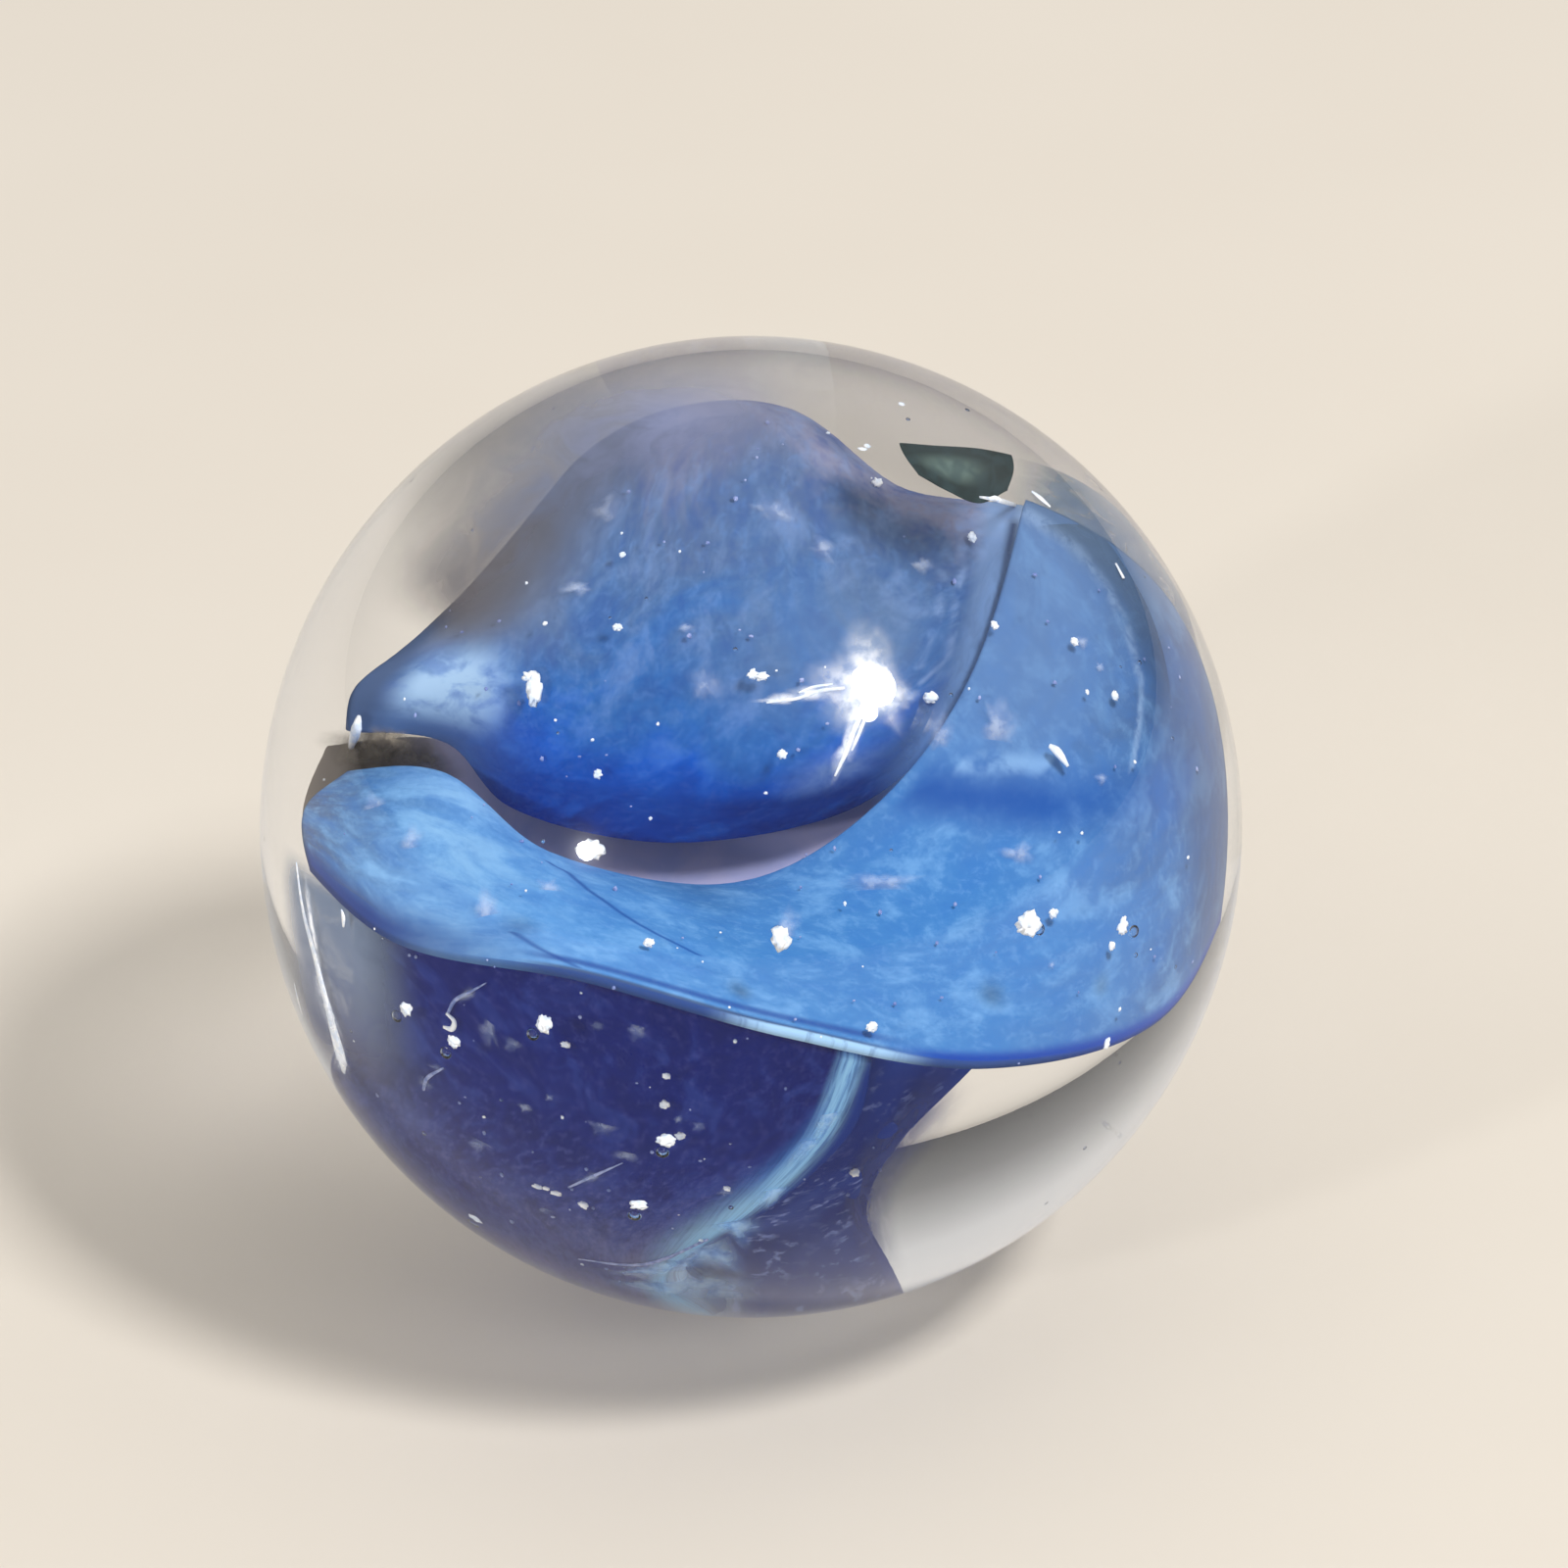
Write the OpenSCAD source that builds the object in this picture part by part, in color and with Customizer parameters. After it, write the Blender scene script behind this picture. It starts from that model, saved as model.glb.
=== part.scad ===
// Swirl marble: a clear glass ball with five curved vanes of blue glass fused inside it.
// The ball is centred on the origin, +Z is up and the open side of the swirl faces -Y.

/* [Ball] */
// Diameter of the ball
ball_d = 16; // [12:0.5:25]
// Clear glass between the ball's surface and the nearest blue glass
skin = 0.3; // [0.2:0.05:0.8]

/* [Vanes] */
// Thickness of a vane at its middle
vane_t = 0.5; // [0.3:0.05:0.8]
// Thickness of a vane along its edge
edge_t = 0.15; // [0.1:0.05:0.3]
// Share of a vane's half width by which its corners are drawn in
corner_share = 0.06; // [0:0.02:0.12]
// Clear glass between the front vane and the lower vanes that hang from it
hang_gap = 0.05; // [0.05:0.05:0.2]
// How far in from the front vane's edge the lower left vane starts
left_inset = 0.45; // [0.3:0.05:0.8]
// How much deeper the lower right vane lies than the lower left one
layer_step = 0.35; // [0.3:0.05:0.6]

/* [Seed bubbles] */
// Diameter of the larger bubbles left in the clear glass
seed_d = 0.22; // [0.1:0.02:0.3]

/* [Hidden] */

// The vanes keep inside a sphere of this radius
reach = ball_d / 2 - skin;
// Facets of the loft between two neighbouring control points
steps = 4;

// Each vane is a sheet lofted through rows of points, from its front edge or lip to its back
// edge, each row from left to right. Points are in hundredths of the reach.

// A hood: it rises from a crisp lip, bulges forwards and curls over to the back
upper_points = [
    [[-74, -14, 27], [-49, -10, 22], [-36, -14, 12], [-12, -19, 9], [14, -16, 12], [30, -7, 20]],
    [[-70, -10, 34], [-47, -12, 33], [-28, -18, 28], [-4, -23, 28], [18, -18, 28], [37, -1, 30]],
    [[-58, -5, 37], [-40, -4, 43], [-22, -8, 47], [-1, -10, 50], [22, -6, 42], [42, 11, 36]],
    [[-36, 10, 44], [-26, 18, 55], [-13, 22, 60], [4, 22, 60], [22, 16, 47], [44, 26, 38]],
    [[-30, 36, 21], [-18, 48, 20], [-5, 52, 22], [6, 52, 20], [20, 46, 16], [38, 42, 20]]
];

// A leaf that lies level at the left and banks up towards the right and the back
front_points = [
    [[-90, -33, 13], [-70, -66, 12], [-33, -88, 17], [7, -94, 8], [46, -83, -6], [80, -49, -16],
     [93, -20, -8]],
    [[-82, -22, 16], [-62, -42, 18], [-33, -60, 18], [2, -67, 13], [36, -56, 9], [66, -30, 16],
     [84, 6, 36]],
    [[-70, -10, 16], [-50, -17, 20], [-33, -32, 13], [-4, -39, 11], [18, -33, 20], [35, -14, 36],
     [45, 24, 58]]
];

// A trough behind the gap between the upper vane's lip and the front vane, which closes it
inner_points = [
    [[-70, -12, 8], [-50, -20, 10], [-31, -34, 5], [-4, -40, 3], [20, -33, 9], [36, -15, 24]],
    [[-72, -4, 4], [-46, -6, 4], [-30, -20, -1], [-6, -25, -4], [20, -20, 1], [38, -2, 12]],
    [[-66, 10, 8], [-44, 10, 8], [-28, 2, 4], [-6, -2, 2], [18, 2, 7], [36, 12, 18]]
];

// Two leaves that hang from the front vane's edge and sweep back under the middle.
// Their first rows follow that edge, at these places counted in its control points.
left_hang = [0.6, 1, 2, 3, 3.55];
right_hang = [3.2, 3.7, 4.15];

lower_left_points = [
    [[-76, -46, -14], [-54, -60, -16], [-27, -66, -19], [-3, -67, -23], [19, -67, -22]],
    [[-67, -10, -42], [-49, -26, -44], [-30, -38, -45], [-12, -44, -45], [5, -47, -42]],
    [[-40, 14, -60], [-30, 4, -62], [-21, -4, -63], [-14, -9, -62], [-9, -18, -60]],
    [[-24, 34, -60], [-19, 24, -66], [-12, 20, -68], [-6, 18, -68], [-2, 8, -68]]
];

lower_right_points = [
    [[-2, -43, -37], [13, -44, -35], [25, -47, -31]],
    [[-11, -12, -54], [2, -16, -53], [16, -20, -51]],
    [[-6, 32, -66], [4, 26, -70], [17, 16, -68]]
];

// Bubbles in the clear glass: azimuth from +X, elevation, depth in hundredths of the reach
seeds = [
    [222, -4, 92], [230, -6, 92], [243, 1, 93], [259, -14, 91], [254, -27, 90],
    [222, -40, 93], [247, 25, 90], [274, 16, 93], [309, 11, 90], [324, 5, 92]
];

// A point t steps along a row of points, on a smooth curve through all of them.
// It works on rows of points too, which makes one row between two others.
function smooth(p, t) =
    let (last = len(p) - 1,
         i = max(0, min(floor(t), last - 1)),
         f = t - i,
         b = p[i],
         c = p[i + 1],
         a = i > 0 ? p[i - 1] : 2 * b - c,
         d = i + 2 <= last ? p[i + 2] : 2 * c - b)
    b + f / 2 * ((c - a) + f * ((2 * a - 5 * b + 4 * c - d) + f * (3 * (b - c) + d - a)));

function on_sheet(rows, u, v) = smooth([for (row = rows) smooth(row, v)], u);

function unit(v) = v / norm(v);

// The sheet's normal, from two short chords across the point
function normal(rows, u, v) =
    let (e = 0.01)
    unit(cross(on_sheet(rows, u + e, v) - on_sheet(rows, u - e, v),
               on_sheet(rows, u, v + e) - on_sheet(rows, u, v - e)));

// a and b run from -1 to 1 across the sheet, and its corners are drawn in
function rounded(a, b) = a * (1 - corner_share * b * b);

function thickness(a, b) = edge_t + (vane_t - edge_t) * (1 - pow(a, 4)) * (1 - pow(b, 4));

// One face of a vane: side is 1 for the upper face and -1 for the lower one
function face(rows, n, m, side) = [
    for (i = [0:n], j = [0:m])
        let (a = 2 * i / n - 1,
             b = 2 * j / m - 1,
             u = (1 + rounded(a, b)) / 2 * (len(rows) - 1),
             v = (1 + rounded(b, a)) / 2 * (len(rows[0]) - 1))
        on_sheet(rows, u, v) - side * thickness(a, b) / 2 * normal(rows, u, v)
];

function in_mm(rows) = [for (row = rows) [for (p = row) p * reach / 100]];

// A point just clear of the front vane's lower face, this far in from its front edge
function below_front(v, inset) =
    let (u = inset / norm(on_sheet(front, 1, v) - on_sheet(front, 0, v)),
         a = 2 * u / (len(front) - 1) - 1,
         b = 2 * v / (len(front[0]) - 1) - 1)
    on_sheet(front, u, v) + (thickness(a, b) / 2 + edge_t / 2 + hang_gap) * normal(front, u, v);

function hung(places, inset, rows) =
    concat([[for (v = places) below_front(v, inset)]], in_mm(rows));

upper = in_mm(upper_points);
front = in_mm(front_points);
inner = in_mm(inner_points);
lower_left = hung(left_hang, left_inset, lower_left_points);
lower_right = hung(right_hang, left_inset + layer_step, lower_right_points);

// The solid between the two faces of a sheet, closed all round by its edge
module vane(rows) {
    n = (len(rows) - 1) * steps;
    m = (len(rows[0]) - 1) * steps;
    w = m + 1;
    back = (n + 1) * w;
    rim = concat([for (j = [0:m - 1]) j], [for (i = [0:n - 1]) i * w + m],
                 [for (j = [m:-1:1]) n * w + j], [for (i = [n:-1:1]) i * w]);
    cells = [for (i = [0:n - 1], j = [0:m - 1]) i * w + j];
    polyhedron(
        points = concat(face(rows, n, m, 1), face(rows, n, m, -1)),
        faces = concat(
            [for (c = cells, k = [0, 1]) k == 0 ? [c, c + w, c + 1] : [c + 1, c + w, c + w + 1]],
            [for (c = cells, k = [0, 1])
                k == 0 ? [back + c, back + c + 1, back + c + w]
                       : [back + c + 1, back + c + w + 1, back + c + w]],
            [for (q = [0:len(rim) - 1], k = [0, 1])
                let (r = rim[q], s = rim[(q + 1) % len(rim)])
                k == 0 ? [r, s, back + r] : [s, back + s, back + r]]));
}

module seed(azimuth, elevation, depth) {
    rotate([0, -elevation, azimuth]) translate([depth / 100 * reach, 0, 0])
        sphere(d = seed_d, $fn = 16);
}

module clear_glass() {
    color("aliceblue", 0.4)
    difference() {
        sphere(d = ball_d, $fn = 128);
        vane(upper);
        vane(front);
        vane(inner);
        vane(lower_left);
        vane(lower_right);
        for (s = seeds) seed(s[0], s[1], s[2]);
    }
}

module upper_vane() { color("royalblue") vane(upper); }

module front_vane() { color("cornflowerblue") vane(front); }

module inner_vane() { color("slateblue") vane(inner); }

module lower_left_vane() { color("midnightblue") vane(lower_left); }

module lower_right_vane() { color("steelblue") vane(lower_right); }

clear_glass();
upper_vane();
front_vane();
inner_vane();
lower_left_vane();
lower_right_vane();
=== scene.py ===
"""Looks of the swirl marble: a clear glass ball round five fused leaves of blue glass.

Lengths are in metres in the CAD frame: the ball is centred on the origin, +Z is up, and the
camera looks along +Y from 30 degrees above the floor. The leaves are lofted through the same
control points as the CAD source's vanes, only finer, so each one fills its CAD solid.
"""

import math
import random

import bmesh
import bpy
import numpy as np
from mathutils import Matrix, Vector
from mathutils import noise as field
from mathutils.bvhtree import BVHTree


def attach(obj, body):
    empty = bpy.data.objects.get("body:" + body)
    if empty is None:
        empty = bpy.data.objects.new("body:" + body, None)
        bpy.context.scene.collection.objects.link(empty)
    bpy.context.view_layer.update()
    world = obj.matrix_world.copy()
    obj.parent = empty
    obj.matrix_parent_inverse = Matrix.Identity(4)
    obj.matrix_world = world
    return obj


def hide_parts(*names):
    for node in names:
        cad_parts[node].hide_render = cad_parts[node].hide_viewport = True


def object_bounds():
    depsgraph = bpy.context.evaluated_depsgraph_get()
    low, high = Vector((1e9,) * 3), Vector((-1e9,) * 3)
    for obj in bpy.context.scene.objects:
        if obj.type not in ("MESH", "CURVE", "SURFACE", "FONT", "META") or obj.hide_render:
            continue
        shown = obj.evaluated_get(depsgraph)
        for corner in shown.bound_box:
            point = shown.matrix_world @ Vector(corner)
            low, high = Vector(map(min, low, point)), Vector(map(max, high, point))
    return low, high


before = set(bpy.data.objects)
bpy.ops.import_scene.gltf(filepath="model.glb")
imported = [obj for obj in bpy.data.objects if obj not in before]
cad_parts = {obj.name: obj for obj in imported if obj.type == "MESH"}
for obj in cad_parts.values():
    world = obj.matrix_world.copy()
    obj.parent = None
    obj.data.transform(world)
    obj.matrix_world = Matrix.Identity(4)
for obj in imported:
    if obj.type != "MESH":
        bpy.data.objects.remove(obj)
cad_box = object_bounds()

MM = 0.001

# ---- Sizes ----

BALL_R = cad_box[1].z
SKIN = 0.3 * MM
REACH = BALL_R - SKIN
# How far the surface strays from a true ball, and in how many waves over a radius
WAVER = 0.006 * MM
WAVES = 1.7

VANE_T = 0.5 * MM
EDGE_T = 0.15 * MM
CORNER_SHARE = 0.06
HANG_GAP = 0.05 * MM
LEFT_INSET = 0.45 * MM
LAYER_STEP = 0.35 * MM
# Height of the fine flow ripples on the leaves, and swell of their rounded rims
RIPPLE = 0.012 * MM
RIM_SWELL = 0.6
# The UV map that holds a leaf's shares along and across
SHARES = "leaf"

# Control points of the leaves, in hundredths of the reach: rows from the front edge or lip to
# the back edge, each row from left to right
UPPER_POINTS = [
    [(-74, -14, 27), (-49, -10, 22), (-36, -14, 12), (-12, -19, 9), (14, -16, 12), (30, -7, 20)],
    [(-70, -10, 34), (-47, -12, 33), (-28, -18, 28), (-4, -23, 28), (18, -18, 28), (37, -1, 30)],
    [(-58, -5, 37), (-40, -4, 43), (-22, -8, 47), (-1, -10, 50), (22, -6, 42), (42, 11, 36)],
    [(-36, 10, 44), (-26, 18, 55), (-13, 22, 60), (4, 22, 60), (22, 16, 47), (44, 26, 38)],
    [(-30, 36, 21), (-18, 48, 20), (-5, 52, 22), (6, 52, 20), (20, 46, 16), (38, 42, 20)],
]
FRONT_POINTS = [
    [(-90, -33, 13), (-70, -66, 12), (-33, -88, 17), (7, -94, 8), (46, -83, -6),
     (80, -49, -16), (93, -20, -8)],
    [(-82, -22, 16), (-62, -42, 18), (-33, -60, 18), (2, -67, 13), (36, -56, 9),
     (66, -30, 16), (84, 6, 36)],
    [(-70, -10, 16), (-50, -17, 20), (-33, -32, 13), (-4, -39, 11), (18, -33, 20),
     (35, -14, 36), (45, 24, 58)],
]
LEFT_HANG = [0.6, 1, 2, 3, 3.55]
LOWER_LEFT_POINTS = [
    [(-76, -46, -14), (-54, -60, -16), (-27, -66, -19), (-3, -67, -23), (19, -67, -22)],
    [(-67, -10, -42), (-49, -26, -44), (-30, -38, -45), (-12, -44, -45), (5, -47, -42)],
    [(-40, 14, -60), (-30, 4, -62), (-21, -4, -63), (-14, -9, -62), (-9, -18, -60)],
    [(-24, 34, -60), (-19, 24, -66), (-12, 20, -68), (-6, 18, -68), (-2, 8, -68)],
]
RIGHT_HANG = [3.2, 3.7, 4.15]
LOWER_RIGHT_POINTS = [
    [(-2, -43, -37), (13, -44, -35), (25, -47, -31)],
    [(-11, -12, -54), (2, -16, -53), (16, -20, -51)],
    [(-6, 32, -66), (4, 26, -70), (17, 16, -68)],
]

# A trough behind the gap between the hood's lip and the front leaf, which closes it
INNER_POINTS = [
    [(-70, -12, 8), (-50, -20, 10), (-31, -34, 5), (-4, -40, 3), (20, -33, 9), (36, -15, 24)],
    [(-72, -4, 4), (-46, -6, 4), (-30, -20, -1), (-6, -25, -4), (20, -20, 1), (38, -2, 12)],
    [(-66, 10, 8), (-44, 10, 8), (-28, 2, 4), (-6, -2, 2), (18, 2, 7), (36, 12, 18)],
]

# Bubbles: azimuth from +X, elevation, depth in hundredths of the reach
SEED_D = 0.22 * MM
SEEDS = [
    (222, -4, 92), (230, -6, 92), (243, 1, 93), (259, -14, 91), (254, -27, 90),
    (222, -40, 93), (247, 25, 90), (274, 16, 93), (309, 11, 90), (324, 5, 92),
]
# Finer bubbles: how many, how far out in shares of the reach, and their radius in millimetres
FINE_SEED_COUNT = 70
FINE_SEED_DEPTH = (0.86, 0.99)
FINE_SEED_R = (0.02, 0.045)

# The camera, and where the photograph shows small things. Places are in its 1600 pixels.
PHOTO = 1600
CAMERA_RISE = math.radians(30)
CAMERA_ANGLE = math.radians(9.13)
AWAY = Vector((0, -math.cos(CAMERA_RISE), math.sin(CAMERA_RISE)))
RIGHT = Vector((1, 0, 0))
UP = AWAY.cross(RIGHT)
CAMERA_SHIFT = 0.54
CAMERA_LIFT = 0.70
CAMERA_FAR = 160
CAMERA = (CAMERA_SHIFT * RIGHT + CAMERA_LIFT * UP + CAMERA_FAR * AWAY) * MM
# The ball's radius in pixels
BALL_PIXELS = 502
PIXEL = BALL_R / BALL_PIXELS
GLASS_IOR = 1.5
# Vertices nearer than this are one
SAME_PLACE = 1e-7
# Where dust is scattered and how large it is, in pixels
DUST_X = (320, 1230)
DUST_Y = (430, 1310)
DUST_SIZE = (1.2, 3.6)

# Bright specks right in front of the larger bubbles: x, y, width and height in pixels
BUBBLE_SPECKS = [
    (414, 1030, 13, 13), (463, 1063, 13, 12), (555, 1045, 14, 17), (680, 1164, 17, 14),
    (652, 1230, 16, 12), (485, 1244, 14, 12), (603, 867, 26, 17), (797, 958, 17, 22),
    (1050, 943, 26, 22), (1146, 945, 13, 16),
]
# Bright specks that float just in front of the leaves
BRIGHT_SPECKS = [
    (1075, 932, 8, 8), (1135, 965, 7, 8), (662, 962, 9, 8), (890, 1048, 10, 10),
    (1130, 1065, 7, 12), (1097, 655, 7, 7), (1138, 710, 7, 8), (1015, 638, 6, 7),
    (992, 548, 7, 8), (768, 688, 8, 8), (950, 712, 11, 9), (610, 790, 6, 7),
    (630, 640, 7, 6), (545, 703, 12, 26), (540, 690, 10, 8), (895, 492, 7, 7),
    (577, 1066, 8, 6), (678, 1127, 8, 8), (680, 1098, 7, 6), (694, 1159, 8, 7),
    (595, 1230, 8, 7), (548, 1211, 8, 5), (567, 1218, 9, 5), (557, 1213, 6, 4),
    (742, 1213, 5, 5), (872, 1196, 7, 8), (885, 455, 6, 6), (920, 412, 6, 6),
    (880, 458, 9, 4), (635, 566, 5, 5), (777, 690, 10, 7), (798, 770, 7, 7),
]
# Soft pale flecks: x, y, width, height, and the turn where a fleck lies aslant
FLECKS = [
    (500, 1052, 26, 34), (522, 1066, 24, 18), (650, 1052, 28, 22), (488, 1166, 30, 22),
    (434, 1104, 22, 20), (446, 1090, 22, 9), (713, 1150, 16, 14), (692, 1142, 12, 10),
    (557, 1236, 18, 11), (610, 1047, 14, 11), (535, 1130, 16, 14), (560, 1120, 10, 9),
    (740, 1215, 14, 12), (1017, 740, 36, 46), (940, 735, 46, 30), (960, 748, 24, 34),
    (925, 712, 26, 22), (800, 950, 34, 38), (495, 930, 34, 40), (560, 905, 30, 20),
    (1073, 985, 10, 9), (1122, 680, 11, 11), (1125, 795, 16, 10), (790, 520, 40, 26),
    (620, 520, 26, 30), (700, 640, 14, 12), (940, 575, 26, 18), (840, 560, 30, 26),
    (590, 600, 26, 16), (720, 700, 30, 40), (1040, 870, 40, 18), (900, 900, 60, 22),
    (420, 860, 36, 30), (380, 820, 30, 24), (1105, 655, 13, 13), (645, 1300, 60, 12),
    (608, 1200, 60, 12, 27), (478, 1014, 40, 10, 30), (612, 1150, 30, 20), (640, 1180, 26, 14),
]
# Pale threads, and painted glints of light as short bright threads: points in pixels, and the
# width there
THREADS_AND_GLINTS = [
    [(452, 1048, 3), (461, 1050, 6), (463, 1042, 5), (455, 1034, 3)],
    [(1071, 761, 4), (1080, 768, 8), (1090, 782, 3)],
    [(1000, 507, 3), (1022, 511, 7), (1035, 515, 4)],
    [(1053, 501, 3), (1062, 508, 7), (1072, 517, 3)],
    [(366, 731, 5), (363, 745, 13), (358, 762, 5)],
    [(1139, 575, 3), (1147, 590, 4)],
    [(348, 928, 2), (350, 936, 6), (350, 946, 3)],
]
DULL_THREADS = [
    [(456, 1036, 3), (464, 1021, 4), (480, 1012, 3), (496, 1003, 1)],
    [(580, 1212, 2), (606, 1200, 3), (635, 1187, 1)],
    [(590, 1285, 1), (660, 1290, 3), (722, 1265, 2)],
    [(555, 1300, 1), (600, 1316, 2)],
    [(432, 1112, 3), (436, 1100, 4), (452, 1090, 2)],
]
# Painted highlights along the ball's outline at the left
EDGE_HIGHLIGHTS = [
    [(302, 880, 3), (309, 930, 6), (322, 980, 9), (336, 1035, 13), (347, 1075, 17),
     (350, 1094, 7)],
    [(300, 1004, 2), (304, 1022, 5), (308, 1036, 2)],
]
# Painted glow: the soft part of the highlights along the outline at the left, and round the lamp's
# highlight where a scuff catches its light
EDGE_GLOW_FLECKS = [
    (330, 1010, 24, 120, 12), (344, 1064, 30, 74, 10), (318, 945, 18, 110, 8),
    (347, 1085, 18, 30, 10),
]
SCUFF_GLOW_FLECKS = [
    (884, 697, 120, 104), (888, 694, 70, 64), (872, 735, 34, 60, -12), (862, 765, 22, 62, -18),
    (826, 708, 92, 20, 8), (796, 714, 50, 14, 6), (908, 716, 46, 40), (866, 712, 46, 34),
]
# The painted highlight that a scuff by the lamp's highlight catches, just under the ball's surface
SCUFF_HIGHLIGHTS = [
    [(879, 728, 5), (871, 746, 6), (863, 768, 5), (852, 792, 2)],
    [(884, 730, 3), (875, 752, 4), (869, 766, 2)],
    [(862, 702, 3), (837, 705, 4), (812, 713, 3), (782, 717, 2)],
    [(850, 698, 2), (830, 701, 3), (815, 707, 2)],
]
# A dark green lens high on the right, a painted reflection of dark surroundings in the glass: rows
# of places
LENS = [
    [(914, 451), (955, 455), (1000, 458), (1035, 464)],
    [(926, 468), (964, 478), (1000, 482), (1034, 480)],
    [(936, 484), (966, 500), (1000, 513), (1030, 500)],
]
LENS_DEPTH = 1.2 * MM
LENS_T = 0.12 * MM

# Veils of thin cloudy glass that soften the leaves' edges. Each column of places starts over
# a leaf and runs out past its edge.
HOOD_VEIL = [
    [(510, 690), (456, 668), (398, 640), (352, 620)],
    [(545, 652), (478, 618), (425, 584), (385, 552)],
    [(590, 606), (525, 566), (465, 522), (420, 480)],
    [(635, 556), (575, 508), (520, 458), (478, 420)],
    [(680, 512), (632, 458), (590, 408), (560, 372)],
    [(722, 500), (700, 440), (684, 392), (670, 352)],
    [(780, 500), (778, 438), (776, 390), (774, 348)],
    [(830, 520), (842, 470), (856, 430), (872, 394)],
]
LEFT_VEIL = [
    [(430, 960), (368, 905), (318, 876), (286, 850)],
    [(432, 1000), (370, 950), (322, 926), (284, 905)],
    [(436, 1040), (374, 1010), (330, 990), (292, 972)],
    [(442, 1090), (384, 1072), (344, 1058), (308, 1044)],
    [(454, 1150), (402, 1138), (364, 1126), (334, 1112)],
]
BANK_VEIL = [
    [(1006, 520), (1014, 498), (1022, 478), (1028, 464)],
    [(1060, 545), (1075, 520), (1085, 500), (1095, 486)],
    [(1096, 572), (1115, 550), (1130, 534), (1143, 520)],
    [(1122, 606), (1145, 588), (1162, 575), (1177, 563)],
    [(1142, 646), (1168, 632), (1190, 621), (1207, 611)],
    [(1154, 692), (1182, 683), (1206, 676), (1226, 669)],
    [(1158, 745), (1188, 741), (1215, 737), (1238, 733)],
]
# These two cross the right edges of the hood and of the lower right leaf. The first is painted
# light: lighter glass over the shade that the front leaf casts on the hood's right edge.
SEAM_VEIL = [
    [(1000, 522), (1022, 524), (1044, 528), (1062, 532)],
    [(984, 588), (1011, 594), (1038, 600), (1058, 606)],
    [(962, 648), (992, 660), (1020, 672), (1042, 682)],
    [(930, 704), (962, 722), (990, 738), (1012, 752)],
    [(892, 752), (918, 774), (944, 796), (964, 812)],
    [(850, 788), (868, 812), (888, 838), (902, 856)],
]
DUSK_VEIL = [
    [(950, 1078), (970, 1086), (992, 1094), (1014, 1102)],
    [(908, 1132), (928, 1140), (948, 1149), (970, 1158)],
    [(868, 1178), (888, 1187), (910, 1196), (932, 1205)],
    [(858, 1222), (876, 1229), (898, 1238), (920, 1247)],
    [(866, 1264), (884, 1270), (906, 1278), (928, 1286)],
    [(880, 1302), (896, 1306), (916, 1311), (934, 1315)],
]
# Colours along the veils, as 0 to 255 per channel
SMOKE = [
    (0.0, (98, 90, 88)), (0.25, (100, 98, 104)), (0.45, (98, 106, 130)),
    (0.7, (124, 132, 166)), (1.0, (150, 150, 172)),
]
MILK = [(0.0, (120, 142, 172)), (0.45, (120, 136, 166)), (0.9, (58, 72, 128))]
STEEL = [(0.0, (96, 116, 128)), (0.3, (88, 112, 142)), (1.0, (54, 78, 118))]
SEAM_LIGHT = [(0.0, (122, 152, 196)), (0.5, (108, 142, 190)), (1.0, (76, 120, 186))]
DUSK = [(0.0, (40, 58, 128)), (0.5, (52, 66, 134)), (1.0, (76, 84, 140))]
# Each veil's places, millimetres before the leaf, colours, the shares of its width where it
# gets thick and where it starts to thin, its most cover, the least share of that, and its slot
VEIL_CELLS = 10
VEILS = [
    ("hood_veil", HOOD_VEIL, 0.2, SMOKE, 0.45, 0.4, 0.92, 0.85, "deep_blue_glass"),
    ("left_veil", LEFT_VEIL, 0.2, MILK, 0.4, 0.8, 1.0, 0.85, "navy_glass"),
    ("bank_veil", BANK_VEIL, 0.15, STEEL, 0.4, 0.96, 0.85, 0.65, "light_blue_glass"),
    ("seam_veil", SEAM_VEIL, 0.25, SEAM_LIGHT, 0.4, 0.6, 0.85, 0.65, "light_blue_glass"),
    ("dusk_veil", DUSK_VEIL, 0.1, DUSK, 0.35, 0.35, 0.9, 0.65, "navy_glass"),
]
# Painted light: pale blue discs where the lit streak fans out at its foot
STREAK_FLECKS = [
    (748, 1248, 90, 34, -42), (722, 1272, 84, 44, -50), (704, 1294, 90, 52, -35),
    (688, 1310, 110, 34), (726, 1316, 84, 26), (700, 1286, 60, 30, 30), (664, 1296, 70, 16, 8),
    (790, 1216, 70, 22, 42), (846, 1140, 64, 20, 62), (826, 1166, 60, 18, 52),
]
# Painted shade: dark brown-grey discs between the hood's left wing and the front leaf
SHADE_FLECKS = [
    (380, 758, 110, 40, -4), (402, 764, 100, 52, -8), (366, 768, 60, 40, 20),
    (430, 772, 70, 40, -30), (392, 752, 90, 26, -6),
]

# Lamps: name, way from the ball, diameter in metres and power
LAMP_DISTANCE = 0.4
LAMPS = [
    ("key_lamp", (0.45, -0.36, 0.81), 0.07, 1.0),
    ("side_lamp", (0.40, -0.4225, 0.70), 0.03, 0.18),
    ("fill_lamp", (-0.617, -0.721, 0.316), 0.03, 0.35),
]
# How light the surroundings are, from the horizon to straight overhead
GLOW = [(0.0, 0.09), (0.13, 0.2), (0.38, 0.6), (1.0, 0.8)]
FLOOR_HALF = 20.0

# ---- Mesh code ----


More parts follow.
